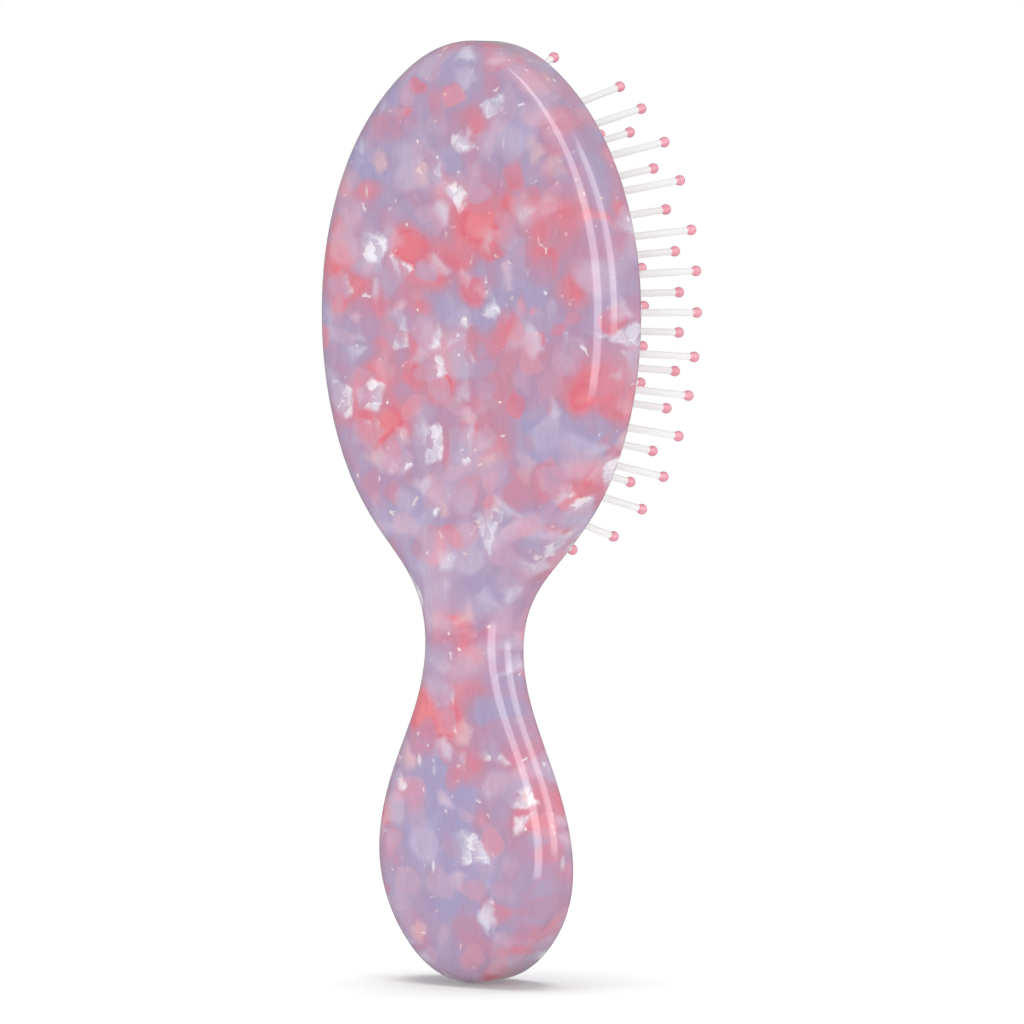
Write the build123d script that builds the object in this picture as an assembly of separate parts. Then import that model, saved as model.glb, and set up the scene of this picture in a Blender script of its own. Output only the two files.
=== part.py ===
from build123d import *
import os
from math import sqrt, cos, sin, pi, hypot

# Vanity cushion hairbrush, palm size: an oval head with a domed rubber cushion
# full of ball-tipped pins, and a short bulb-ended handle, all in one flat body.
# Millimetres. The brush stands on its handle end: +Z runs along the brush
# towards the top of the head, X across it, and the flat back faces -Y, so the
# pins point to +Y. The origin is the middle of the bottom of the brush's box:
# level with the handle's end, and halfway from the back face to the pin tips.
# Everything is drawn with Y 0 inside the body and moved back by AXIS_Y when it
# is written. "Right" in a file name is +X, "left" is -X.
# An RX is the half width of an oval; its half height is RX * OVAL.

# ---------------------------------------------------------------- whole body
LENGTH = 152.0            # overall length, handle end to head top
BACK_Y = -7.5             # flat back face
HEAD_Y = 7.6              # flat front face of the head
AXIS_Y = 11.23            # middle of the whole depth, pins included
R_BACK = 6.5              # rounding of the back edge, all round
R_FRONT = 3.0             # rounding of the front edge, all round
WALL = 2.2                # wall of the back shell
FRONT_T = 1.8             # thickness of the front shell
HEAD_Z = 109.0            # centre of the oval opening
OVAL = 1.575              # height of every oval over its width

# half outline of the body, from the handle end to the head top (x, z)
HALF_OUTLINE = [
    (0.0, 0.0), (6.75, 2.02), (11.80, 6.75), (15.20, 12.75),
    (16.80, 19.31), (16.50, 26.16), (14.73, 32.92), (12.11, 39.38),
    (9.52, 45.74), (7.95, 52.40), (8.18, 59.32), (10.88, 65.59),
    (15.30, 70.98), (19.65, 76.50), (23.05, 82.51), (25.48, 88.98),
    (27.15, 95.75), (28.05, 102.62), (28.24, 109.50), (27.76, 116.36),
    (26.47, 123.15), (24.36, 129.79), (21.37, 136.07), (17.45, 141.77),
    (12.60, 146.75), (6.75, 150.55), (0.0, LENGTH)]

# front face of the body seen from the side (z, y): a thicker bulb at the
# handle's end, a slimmer upper handle and neck, and a flat head
FRONT_PROFILE = [
    (-6.0, 7.6), (3.0, 7.6), (9.0, 7.2), (14.0, 6.4), (20.0, 5.2),
    (26.0, 4.3), (32.0, 3.75), (38.0, 3.6), (46.0, 3.85), (54.0, 4.35),
    (58.0, 4.8), (62.0, 5.55), (65.0, 6.45), (67.0, 7.1), (68.7, 7.5),
    (70.0, HEAD_Y)]

# --------------------------------------------------- posts, ribs and pillars
POST_ZS = (14.0, 36.0, 60.5)  # alignment posts, on the middle line
POST_R = 2.4
POST_GAP = 0.6            # post top to front shell
PEG_R = 1.25
PEG_L = 4.2               # peg length, and depth of its socket
SOCKET_CLEAR = 0.05       # radial clearance of a peg in its socket
RIB_ZS = (47.5, 52.5, 56.5)
RIB_T = 1.2
RIB_H = 6.0
RIB_OVERLAP = 0.8         # each end of a rib runs this far into the wall
PILLARS = 8
PILLAR_R = 0.8
PILLAR_RX = 23.7          # oval the pillars stand on

# --------------------------------------------------------- opening and tongue
OPEN_RX = 24.2            # oval opening
R_RIM = 0.35              # rounding of the opening's edge
TONGUE_GAP = 0.12         # tongue to the back shell's wall
TONGUE_INSET = 1.2        # tongue's inner side to the back shell's wall
TONGUE_ROOT = 0.3         # overlap of the tongue with the front shell
TONGUE_H = 1.5            # reach of the tongue behind the front shell
TONGUE_TOP_Z = 64.0       # the tongue ends here, at the neck

# --------------------------------------------------------- cushion and frame
LIP_RX = 24.95            # cushion's lip
LIP_T = 1.2               # room for the lip behind the front shell
LIP_GAP = 0.01            # play on each face of the lip
GAP_PAD = 0.10            # cushion wall to opening
DOME_Y = 6.5              # datum of the dome's height
DOME_H = 6.5              # rise of the dome above that datum
DOME_RX = 24.4            # where the dome would reach the datum
PAD_T = 1.6               # thickness of the domed skin
PAD_IN_RX = 23.1          # inside of the cushion's side wall
VENT_R = 0.6              # breathing hole of the cushion
VENT_Z = 31.0             # breathing hole above HEAD_Z
FRAME_T = 1.5             # thickness of the retaining frame
FRAME_IN_RX = 23.6        # frame's window
FRAME_GAP = 0.05          # frame's edge inside the lip's
FRAME_Y1 = HEAD_Y - FRONT_T - LIP_T - 0.02
FRAME_Y0 = FRAME_Y1 - FRAME_T
LIP_Y1 = HEAD_Y - FRONT_T - LIP_GAP
LIP_Y0 = LIP_Y1 - LIP_T + 2 * LIP_GAP

# ----------------------------------------------------------------------- pins
PIN_L = 16.0              # cushion surface to ball centre, along the pin
PIN_R_BASE = 0.66         # shaft radius at the cushion
PIN_R_TIP = 0.56          # shaft radius under the ball
TAPER_START = 1.2         # taper starts this far above the cushion
TAPER_END = 0.9           # and ends this far below the ball centre
SHAFT_END = 0.28          # shaft's end beyond the ball centre
SHAFT_CHAMFER = 0.15
BALL_R = 0.97
BORE_CLEAR = 0.02         # clearance of the shaft in the ball
FOOT_R = 0.95             # foot that holds the pin under the skin
FOOT_T = 0.8
FOOT_DEPTH = 1.72         # foot's upper face below the outer surface
PIN_CLEAR = 0.035         # radial clearance of a pin in its hole
PIN_FAN_X = 45.0          # radius that the pins fan about across the head
PIN_FAN_Z = 105.0         # radius that the pins fan about along the head
PIN_Z0 = 109.4            # zero of the pin layout along the brush

# lengthwise rows of pins on the half x >= 0, from the middle outwards:
# (x, z from PIN_Z0)
PIN_ROWS = [
    [(0, 35.1), (0, 26.6), (0, 21.2), (0, 15.9), (0, 10.6), (0, 4.9),
     (0, -1.0), (0, -6.7), (0, -12.4), (0, -18.1), (0, -23.9), (0, -29.6)],
    [(5.3, 24.0), (5.3, 19.0), (5.3, 13.5), (5.3, 7.7), (5.3, 2.0), (5.3, -3.8),
     (5.3, -9.5), (5.3, -15.2), (5.3, -21.0), (5.3, -26.8), (2.7, -35.2)],
    [(9.6, 30.9), (10.2, 24.4), (7.4, 16.2), (8.3, 10.7), (10.5, 5.1), (10.8, -0.3),
     (10.7, -6.0), (10.6, -11.2), (8.2, -17.9), (10.4, -25.3), (8.9, -33.1)],
    [(12.8, 27.8), (13.7, 19.3), (15.4, 13.5), (15.6, -14.7), (13.7, -20.8),
     (13.1, -29.1)],
    [(16.3, 23.1), (16.7, 7.6), (17.3, 1.8), (17.3, -3.9), (16.8, -9.4),
     (16.3, -24.4)],
    [(18.6, 17.7), (20.2, 10.7), (20.9, 4.9), (21.0, -1.0), (20.6, -7.3),
     (19.8, -12.8), (18.4, -18.6)],
]


# ------------------------------------------------------------------- helpers
def inset(points, distance):
    """The half outline moved inwards, both ends kept on the middle line."""
    moved = [(0.0, points[0][1] + distance)]
    for (xa, za), (x, z), (xb, zb) in zip(points, points[1:], points[2:]):
        before, after = hypot(x - xa, z - za), hypot(xb - x, zb - z)
        # tangent weighted towards the nearer neighbour
        tx = (x - xa) / before * after + (xb - x) / after * before
        tz = (z - za) / before * after + (zb - z) / after * before
        length = hypot(tx, tz)
        moved.append((x - distance * tz / length, z + distance * tx / length))
    moved.append((0.0, points[-1][1] - distance))
    return moved


def prism(points, y0, y1):
    """Closed outline of a half outline, extruded along Y."""
    half = [Vector(x, y0, z) for x, z in points]
    mirrored = [Vector(-x, y0, z) for x, z in points[-2:0:-1]]
    outline = Wire([Spline(*(half + mirrored), periodic=True)])
    return extrude(Face(outline), amount=y1 - y0, dir=(0, 1, 0))


def behind_front(offset):
    """Everything behind the front profile, moved by offset along Y."""
    x, top_z, far_y = -40.0, 170.0, -30.0
    points = [Vector(x, y + offset, z) for z, y in FRONT_PROFILE]
    top = Vector(x, HEAD_Y + offset, top_z)
    far_top = Vector(x, far_y, top_z)
    far_bottom = Vector(x, far_y, FRONT_PROFILE[0][0])
    outline = Wire([
        Spline(*points),
        Line(points[-1], top),
        Line(top, far_top),
        Line(far_top, far_bottom),
        Line(far_bottom, points[0]),
    ])
    return extrude(Face(outline), amount=-2 * x, dir=(1, 0, 0))


def oval(rx, y0, y1):
    """Oval prism about the centre of the opening."""
    plane = Plane((0, y0, HEAD_Z), x_dir=(0, 0, 1), z_dir=(0, 1, 0))
    outline = Wire([Edge.make_ellipse(rx * OVAL, rx, plane=plane)])
    return extrude(Face(outline), amount=y1 - y0, dir=(0, 1, 0))


def rod(x, z, radius, y0, y1):
    """Round rod along Y."""
    return Solid.make_cylinder(radius, y1 - y0, Plane((x, y0, z), z_dir=(0, 1, 0)))


def front_inside_y(z):
    """Inner face of the front shell at z, by straight lines, for hidden posts."""
    for (z0, y0), (z1, y1) in zip(FRONT_PROFILE, FRONT_PROFILE[1:]):
        if z0 <= z <= z1:
            return y0 + (y1 - y0) * (z - z0) / (z1 - z0) - FRONT_T


def largest(shape):
    """The largest solid of a shape."""
    return max(shape.solids(), key=lambda solid: solid.volume)


def dome_y(x, z):
    """Outer surface of the cushion, z from HEAD_Z."""
    return DOME_Y + DOME_H * (1 - (x / DOME_RX) ** 2 - (z / (DOME_RX * OVAL)) ** 2)


# -------------------------------------------------------------------- pieces
def make_body():
    """The outer form that both shells are cut from."""
    body = largest(prism(HALF_OUTLINE, BACK_Y, 12.0) & behind_front(0.0))
    back_edges = [e for e in body.edges()
                  if abs(e.center().Y - BACK_Y) < 1e-4
                  and e.bounding_box().size.Y < 1e-3]
    body = largest(fillet(back_edges, R_BACK))
    front_edges = [e for e in body.edges()
                   if e.bounding_box().min.Y > 0.0
                   and e.bounding_box().size.Z > 20.0
                   and e.bounding_box().size.X > 5.0]
    return largest(fillet(front_edges, R_FRONT))


def make_back_shell(body):
    inner = inset(HALF_OUTLINE, WALL)
    floor_y = BACK_Y + WALL
    lower = largest(body & behind_front(-FRONT_T))
    cavity = largest(prism(inner, floor_y, 14.0))
    floor_edges = [e for e in cavity.edges() if e.bounding_box().max.Y < floor_y + 1e-3]
    cavity = largest(fillet(floor_edges, R_BACK - WALL))
    shell = largest(lower - cavity)

    # alignment posts with sockets, in the handle and neck
    for z in POST_ZS:
        top = front_inside_y(z) - POST_GAP
        shell = shell + rod(0.0, z, POST_R, BACK_Y + 1.0, top)
        shell = shell - rod(0.0, z, PEG_R + SOCKET_CLEAR, top - PEG_L, top + 1.0)
    # ribs across the neck, which carries the bending load
    for rib_z in RIB_ZS:
        half_width = min(inner, key=lambda point: abs(point[1] - rib_z))[0]
        rib = Box(2 * (half_width + RIB_OVERLAP), RIB_H, RIB_T,
                  align=(Align.CENTER, Align.MIN, Align.CENTER))
        shell = shell + (Pos(0, BACK_Y + 1.2, rib_z) * rib & lower)
    # pillars that hold the retaining frame up against the cushion's lip
    for k in range(PILLARS):
        angle = (k + 0.5) * 2 * pi / PILLARS
        x, z = PILLAR_RX * cos(angle), HEAD_Z + PILLAR_RX * OVAL * sin(angle)
        pillar = rod(x, z, PILLAR_R, BACK_Y + 1.6, FRAME_Y0 - 0.02)
        shell = shell + (pillar & lower)
    return largest(shell)


def make_opening():
    """Cutter for the oval opening, with a rounded edge at the front."""
    rim_rx, rim_y = OPEN_RX + R_RIM, HEAD_Y - R_RIM
    diagonal = R_RIM * sqrt(0.5)
    low_y, high_y = -5, 15
    profile = Wire([
        Line((0, low_y, 0), (OPEN_RX, low_y, 0)),
        Line((OPEN_RX, low_y, 0), (OPEN_RX, rim_y, 0)),
        ThreePointArc((OPEN_RX, rim_y, 0), (rim_rx - diagonal, rim_y + diagonal, 0),
                      (rim_rx, HEAD_Y, 0)),
        Line((rim_rx, HEAD_Y, 0), (rim_rx, high_y, 0)),
        Line((rim_rx, high_y, 0), (0, high_y, 0)),
        Line((0, high_y, 0), (0, low_y, 0)),
    ])
    cutter = largest(revolve(Face(profile), axis=Axis.Y, revolution_arc=360))
    return Pos(0, 0, HEAD_Z) * scale(cutter, by=(1.0, 1.0, OVAL))


def make_tongue():
    """Tongue that locates the front shell inside the back shell's handle wall."""
    tongue = (largest(prism(inset(HALF_OUTLINE, WALL + TONGUE_GAP), -4.0, 12.0))
              - largest(prism(inset(HALF_OUTLINE, WALL + TONGUE_INSET), -5.0, 13.0)))
    tongue = tongue & (behind_front(-FRONT_T + TONGUE_ROOT)
                       - behind_front(-FRONT_T - TONGUE_H))
    handle_box = Box(60, 60, 120, align=(Align.CENTER, Align.CENTER, Align.MAX))
    return tongue & handle_box.moved(Location((0, 0, TONGUE_TOP_Z)))


def make_front_shell(body):
    shell = largest(body - behind_front(-FRONT_T))
    shell = largest(shell - make_opening())
    shell = shell + make_tongue()
    for z in POST_ZS:
        top = front_inside_y(z)
        shell = shell + rod(0.0, z, PEG_R, top - PEG_L, top + 0.5)
    return largest(shell)


def make_frame():
    """Retaining frame behind the cushion's lip."""
    return largest(oval(LIP_RX - FRAME_GAP, FRAME_Y0, FRAME_Y1)
                   - oval(FRAME_IN_RX, FRAME_Y0 - 1, FRAME_Y1 + 1))


def dome_curve(radius, drop):
    """Dome profile from the middle to a radius, in the XY plane, with its end heights."""
    top, edge = dome_y(0, 0) - drop, dome_y(radius, 0) - drop
    # the profile is a parabola, level in the middle
    return Bezier((0, top, 0), (radius / 2, top, 0), (radius, edge, 0)), top, edge


def make_cushion(holes):
    wall_rx = OPEN_RX - GAP_PAD
    outer, outer_top, outer_edge = dome_curve(wall_rx, 0.0)
    inner, inner_top, inner_edge = dome_curve(PAD_IN_RX, PAD_T)
    profile = Wire([
        outer,
        Line((wall_rx, outer_edge, 0), (wall_rx, LIP_Y1, 0)),
        Line((wall_rx, LIP_Y1, 0), (LIP_RX, LIP_Y1, 0)),
        Line((LIP_RX, LIP_Y1, 0), (LIP_RX, LIP_Y0, 0)),
        Line((LIP_RX, LIP_Y0, 0), (PAD_IN_RX, LIP_Y0, 0)),
        Line((PAD_IN_RX, LIP_Y0, 0), (PAD_IN_RX, inner_edge, 0)),
        inner,
        Line((0, inner_top, 0), (0, outer_top, 0)),
    ])
    pad = largest(revolve(Face(profile), axis=Axis.Y, revolution_arc=360))
    pad = largest(Pos(0, 0, HEAD_Z) * scale(pad, by=(1.0, 1.0, OVAL)))
    vent_y = dome_y(0, VENT_Z) - 3.0
    vent = rod(0, HEAD_Z + VENT_Z, VENT_R, vent_y, vent_y + 5.0)
    return largest(pad - (holes + [vent]))


def make_shaft():
    """Pin shaft with its foot, along Z from the cushion's surface at 0."""
    tip = PIN_L + SHAFT_END
    profile = Wire.make_polygon([
        (0, 0, -FOOT_DEPTH - FOOT_T),
        (FOOT_R, 0, -FOOT_DEPTH - FOOT_T),
        (FOOT_R, 0, -FOOT_DEPTH),
        (PIN_R_BASE, 0, -FOOT_DEPTH),
        (PIN_R_BASE, 0, TAPER_START),
        (PIN_R_TIP, 0, PIN_L - TAPER_END),
        (PIN_R_TIP, 0, tip - SHAFT_CHAMFER),
        (PIN_R_TIP - SHAFT_CHAMFER, 0, tip),
        (0, 0, tip),
    ], close=True)
    return largest(revolve(Face(profile), axis=Axis.Z, revolution_arc=360))


def make_ball():
    """Ball tip, bored from below for the shaft."""
    below = 3.0
    bore = Solid.make_cylinder(PIN_R_TIP + BORE_CLEAR, below + SHAFT_END + BORE_CLEAR,
                               Plane((0, 0, PIN_L - below), z_dir=(0, 0, 1)))
    return largest(Pos(0, 0, PIN_L) * Sphere(BALL_R) - bore)


def pin_plane(x, pin_z):
    """Plane at a pin's root on the cushion's surface, its z along the pin."""
    z = PIN_Z0 + pin_z
    return Plane(origin=(x, dome_y(x, z - HEAD_Z), z),
                 z_dir=(x / PIN_FAN_X, 1.0, pin_z / PIN_FAN_Z))


def make_pin_hole(plane):
    start = Plane(origin=plane.origin - plane.z_dir * 3.4, z_dir=plane.z_dir)
    return Solid.make_cylinder(PIN_R_BASE + PIN_CLEAR, 5.4, start)


# --------------------------------------------------------------------- export
HOME = Location((0, -AXIS_Y, 0))


def write(name, shape):
    shape.label = name
    export_step(shape, "parts/%s.step" % name)


os.makedirs("parts", exist_ok=True)

pin_groups = {"centre": [pin_plane(x, z) for x, z in PIN_ROWS[0]]}
for row, points in enumerate(PIN_ROWS[1:], start=1):
    for side, sign in (("right", 1), ("left", -1)):
        pin_groups["%s_%d" % (side, row)] = [pin_plane(sign * x, z) for x, z in points]
pin_holes = [make_pin_hole(plane) for planes in pin_groups.values() for plane in planes]

whole_body = make_body()
write("back_shell", make_back_shell(whole_body).moved(HOME))
write("front_shell", make_front_shell(whole_body).moved(HOME))
write("retaining_frame", make_frame().moved(HOME))
write("cushion_pad", make_cushion(pin_holes).moved(HOME))

pin_parts = {"shafts": make_shaft(), "tips": make_ball()}
for group, planes in pin_groups.items():
    for part, solid in pin_parts.items():
        placed = [largest(plane.location * solid).moved(HOME) for plane in planes]
        write("pins_%s_%s" % (group, part), Compound(children=placed))
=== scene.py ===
"""A paddle hairbrush: two pearl acetate shells, a domed rubber cushion and
ball-tipped nylon pins.

It stands upright on its handle's end: Z runs up its length from the end, X is
across and Y is depth. The pins point to the front, +Y, and the flat back
faces -Y. Sizes are in millimetres, with Y 0 at the body's mid-depth, and are
moved into the frame, which is in metres, when a mesh is made.
"""
import bpy
import bmesh
import math
import numpy as np
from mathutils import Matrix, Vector


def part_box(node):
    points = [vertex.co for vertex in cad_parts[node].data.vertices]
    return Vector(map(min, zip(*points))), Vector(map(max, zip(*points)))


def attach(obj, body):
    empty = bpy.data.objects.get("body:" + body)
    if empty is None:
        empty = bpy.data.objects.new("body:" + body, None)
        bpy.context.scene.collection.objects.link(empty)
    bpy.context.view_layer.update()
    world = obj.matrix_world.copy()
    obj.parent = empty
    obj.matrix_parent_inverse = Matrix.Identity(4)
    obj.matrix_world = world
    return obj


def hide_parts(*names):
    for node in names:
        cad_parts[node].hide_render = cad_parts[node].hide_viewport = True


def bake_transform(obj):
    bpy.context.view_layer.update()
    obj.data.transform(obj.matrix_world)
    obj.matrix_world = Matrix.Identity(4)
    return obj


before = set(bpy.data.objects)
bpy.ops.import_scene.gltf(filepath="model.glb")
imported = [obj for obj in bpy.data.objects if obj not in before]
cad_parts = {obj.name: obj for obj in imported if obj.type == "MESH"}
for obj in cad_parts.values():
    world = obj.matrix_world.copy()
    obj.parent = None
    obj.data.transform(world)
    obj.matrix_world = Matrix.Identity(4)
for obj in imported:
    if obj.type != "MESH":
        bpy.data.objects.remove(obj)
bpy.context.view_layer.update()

MM = 0.001
BACK_Y, HEAD_Y = -7.5, 7.6     # back face, and front face of the head
shell_lo, shell_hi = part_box("back_shell")
ORIGIN = Vector(((shell_lo.x + shell_hi.x) / 2, shell_lo.y - BACK_Y * MM, shell_lo.z))

# Body
LENGTH = 152.0
BACK_ROUND, FRONT_ROUND, RIM_ROUND = 6.5, 3.0, 0.35   # edge radii; rim is the opening's
WALL, FRONT_T = 2.2, 1.8       # thickness of the back shell and of the front shell
FLOOR_Y = BACK_Y + WALL + 1.2  # floor inside the back shell
SEAM = 0.055                   # half width of the fine gap between the two shells
SEAM_ANGLE = math.asin((FRONT_ROUND - FRONT_T) / FRONT_ROUND)   # on the front rounding
SEAM_INSET = FRONT_ROUND * (1 - math.cos(SEAM_ANGLE))
RING_COUNT = 560               # points round the outline
HALF_RING = RING_COUNT // 2
NECK_Z = 68.4                  # where the front's handle rows end
HEAD_FROM_Z = 70.0             # the front is flat from here up

# Head opening and cushion: ovals round HEAD_Z, given by their X radii
HEAD_Z, OVAL = 109.0, 1.575    # centre, and height over width
OPEN_RX, DOME_RX = 24.2, 24.4
LIP_RX, PAD_RX, PAD_IN_RX = 24.95, 24.1, 23.1
DOME_Y, DOME_H, PAD_T = 6.5, 6.5, 1.6
PAD_ROUND = 0.35               # rounding of the pad's edge
VENT_Z = HEAD_Z + 31.0

# Pins fan out: a pin's direction is (x / FAN_X, 1, height / FAN_Z)
PIN_L, PIN_CENTRE_Z, FAN_X, FAN_Z = 16.0, 109.4, 45.0, 105.0

# Right half of the body's outline (x, z), from the handle's end to the top
HALF_OUTLINE = [
    (0.0, 0.0), (6.75, 2.02), (11.80, 6.75), (15.20, 12.75), (16.80, 19.31),
    (16.50, 26.16), (14.73, 32.92), (12.11, 39.38), (9.52, 45.74), (7.95, 52.40),
    (8.18, 59.32), (10.88, 65.59), (15.30, 70.98), (19.65, 76.50), (23.05, 82.51),
    (25.48, 88.98), (27.15, 95.75), (28.05, 102.62), (28.24, 109.50), (27.76, 116.36),
    (26.47, 123.15), (24.36, 129.79), (21.37, 136.07), (17.45, 141.77), (12.60, 146.75),
    (6.75, 150.55), (0.0, LENGTH)]

# Front face of the handle and neck in side view (z, y)
FRONT_PROFILE = [
    (-6.0, 7.6), (3.0, 7.6), (9.0, 7.2), (14.0, 6.4), (20.0, 5.2), (26.0, 4.3),
    (32.0, 3.75), (38.0, 3.6), (46.0, 3.85), (54.0, 4.35), (58.0, 4.8), (62.0, 5.55),
    (65.0, 6.45), (67.0, 7.1), (68.7, 7.5), (HEAD_FROM_Z, HEAD_Y)]

# Pin places (x, height from PIN_CENTRE_Z): the centre row, then the rows
# outwards on the right, which are mirrored on the left
PIN_ROWS = [
    [(0, 35.1), (0, 26.6), (0, 21.2), (0, 15.9), (0, 10.6), (0, 4.9),
     (0, -1.0), (0, -6.7), (0, -12.4), (0, -18.1), (0, -23.9), (0, -29.6)],
    [(5.3, 24.0), (5.3, 19.0), (5.3, 13.5), (5.3, 7.7), (5.3, 2.0), (5.3, -3.8),
     (5.3, -9.5), (5.3, -15.2), (5.3, -21.0), (5.3, -26.8), (2.7, -35.2)],
    [(9.6, 30.9), (10.2, 24.4), (7.4, 16.2), (8.3, 10.7), (10.5, 5.1), (10.8, -0.3),
     (10.7, -6.0), (10.6, -11.2), (8.2, -17.9), (10.4, -25.3), (8.9, -33.1)],
    [(12.8, 27.8), (13.7, 19.3), (15.4, 13.5), (15.6, -14.7), (13.7, -20.8),
     (13.1, -29.1)],
    [(16.3, 23.1), (16.7, 7.6), (17.3, 1.8), (17.3, -3.9), (16.8, -9.4),
     (16.3, -24.4)],
    [(18.6, 17.7), (20.2, 10.7), (20.9, 4.9), (21.0, -1.0), (20.6, -7.3),
     (19.8, -12.8), (18.4, -18.6)]]


# ------------------------------------------------------------------- curves
def cubic_spline(stations, values, periodic=False):
    """Natural or periodic cubic spline through values at stations, as a
    function of the station. A periodic one repeats its first value last."""
    stations = np.asarray(stations, float)
    values = np.asarray(values, float).reshape(len(stations), -1)
    gap = np.diff(stations)
    slope = np.diff(values, axis=0) / gap[:, None]
    count = len(gap) if periodic else len(stations)
    matrix = np.zeros((count, count))
    right = np.zeros((count, values.shape[1]))
    for i in range(count):
        if not periodic and i in (0, count - 1):
            matrix[i, i] = 1
            continue
        matrix[i, i - 1] += gap[i - 1]
        matrix[i, i] += 2 * (gap[i - 1] + gap[i])
        matrix[i, (i + 1) % count] += gap[i]
        right[i] = 6 * (slope[i] - slope[i - 1])
    bend = np.linalg.solve(matrix, right)
    if periodic:
        bend = np.vstack([bend, bend[:1]])

    def evaluate(at):
        at = np.atleast_1d(np.asarray(at, float))
        k = np.clip(np.searchsorted(stations, at, side="right") - 1, 0, len(gap) - 1)
        width = gap[k][:, None]
        after = (stations[k + 1] - at)[:, None]
        before = (at - stations[k])[:, None]
        return ((bend[k] * after ** 3 + bend[k + 1] * before ** 3) / (6 * width)
                + (values[k] / width - bend[k] * width / 6) * after
                + (values[k + 1] / width - bend[k + 1] * width / 6) * before)
    return evaluate


front_curve = cubic_spline(*zip(*FRONT_PROFILE))


def front_y(z):
    """Depth of the body's front face at height z."""
    z = np.asarray(z, float)
    curved = front_curve(np.clip(z.ravel(), FRONT_PROFILE[0][0], HEAD_FROM_Z))
    return np.where(z >= HEAD_FROM_Z, HEAD_Y, curved.reshape(z.shape))


def length_along(points):
    return np.concatenate([[0], np.cumsum(np.hypot(*np.diff(points.T)))])


def outline(count):
    """Evenly spaced points round the body and their outward normals, from
    the handle's end up the right side, mirror symmetric."""
    half = np.array(HALF_OUTLINE)
    corners = np.vstack([half, half[-2:0:-1] * [-1, 1], half[:1]])
    chord = length_along(corners)
    total = chord[-1]
    curve = cubic_spline(chord, corners, periodic=True)
    fine = np.linspace(0, total, 8001)
    arc = length_along(curve(fine))
    places = np.interp(np.linspace(0, arc[-1], count + 1)[:-1], arc, fine)
    points = curve(places)
    nudge = 0.02
    tangent = curve((places + nudge) % total) - curve((places - nudge) % total)
    tangent /= np.linalg.norm(tangent, axis=1)[:, None]
    normals = np.stack([tangent[:, 1], -tangent[:, 0]], axis=1)
    mirror = (-np.arange(count)) % count
    points = (points + points[mirror] * [-1, 1]) / 2
    normals = (normals + normals[mirror] * [-1, 1]) / 2
    normals /= np.linalg.norm(normals, axis=1)[:, None]
    return points, normals


OUTLINE, NORMALS = outline(RING_COUNT)


# ------------------------------------------------------------------- meshes
def edges(row, closed):
    return zip(row, row[1:] + row[:1] if closed else row[1:])


class Grid:
    """Vertices and faces collected from rings and strips."""

    def __init__(self):
        self.vertices = []
        self.faces = []

    def add(self, points):
        first = len(self.vertices)
        self.vertices += [tuple(p) for p in points]
        return list(range(first, len(self.vertices)))

    def points(self, row):
        return np.array([self.vertices[i] for i in row])

    def bridge(self, low, high, closed=True):
        for (a, b), (c, d) in zip(edges(low, closed), edges(high, closed)):
            self.faces.append((a, b, d, c))

    def bridge_all(self, rows, closed=True):
        for low, high in zip(rows, rows[1:]):
            self.bridge(low, high, closed)

    def fan(self, point, row, closed=False):
        for a, b in edges(row, closed):
            self.faces.append((point, a, b))

    def across(self, ring, last, columns, depth):
        """Rows of quads from side to side of a symmetric ring, from its
        bottom point up to its point number last. Returns the top row."""
        rows = []
        for i in range(1, last + 1):
            left, right = self.points([ring[-i], ring[i]])
            inner = []
            for k in range(1, columns):
                t = k / columns
                x, _, z = left * (1 - t) + right * t
                inner.append((x, depth(z), z))
            rows.append([ring[-i]] + self.add(inner) + [ring[i]])
        self.fan(ring[0], rows[0][::-1])
        self.bridge_all(rows, closed=False)
        return rows[-1]

    def cap(self, ring, columns, y):
        """Fills a symmetric ring at depth y."""
        half = len(ring) // 2
        top = self.across(ring, half - 1, columns, lambda z: y)
        self.fan(ring[half], top)

    def make_object(self, name, sharp):
        """Makes a smooth object, with edges sharp above an angle in degrees."""
        mesh = bpy.data.meshes.new(name)
        vertices = np.asarray(self.vertices, float) * MM + np.array(ORIGIN)
        mesh.from_pydata(vertices.tolist(), [], self.faces)
        mesh.validate()
        piece = bpy.data.objects.new(name, mesh)
        bpy.context.scene.collection.objects.link(piece)
        bm = bmesh.new()
        bm.from_mesh(mesh)
        bmesh.ops.remove_doubles(bm, verts=bm.verts, dist=1e-7)
        bmesh.ops.recalc_face_normals(bm, faces=bm.faces)
        for face in bm.faces:
            face.smooth = True
        for edge in bm.edges:
            if len(edge.link_faces) == 2 and edge.calc_face_angle(0.0) > math.radians(sharp):
                edge.smooth = False
        bm.to_mesh(mesh)
        bm.free()
        mesh.update()
        return piece


def register(piece, group, replaced):
    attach(piece, group)
    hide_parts(replaced)


def quarter(k, count):
    """Angle of step k of count in a quarter turn."""
    return math.radians(90 * k / count)


def body_ring(inset, depth=None, rise=0.0):
    """The outline moved in by inset, at a given depth or else at the front
    face's depth plus rise."""
    x, z = (OUTLINE - NORMALS * inset).T
    x[[0, HALF_RING]] = 0.0
    if depth is None:
        depth = front_y(z) + rise
    return np.column_stack([x, np.broadcast_to(depth, x.shape), z])


def front_round_ring(angle):
    """A ring on the front rounding, from 0 at the side to 90 degrees."""
    return body_ring(FRONT_ROUND * (1 - math.cos(angle)),
                     rise=-FRONT_ROUND + FRONT_ROUND * math.sin(angle))


def oval_ring(angles, radius, depth):
    """Points on an oval of the head. Depth is a number or a function of x, z."""
    x = radius * np.cos(angles)
    z = HEAD_Z + radius * OVAL * np.sin(angles)
    if callable(depth):
        depth = depth(x, z)
    return np.column_stack([x, np.broadcast_to(depth, x.shape), z])


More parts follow.
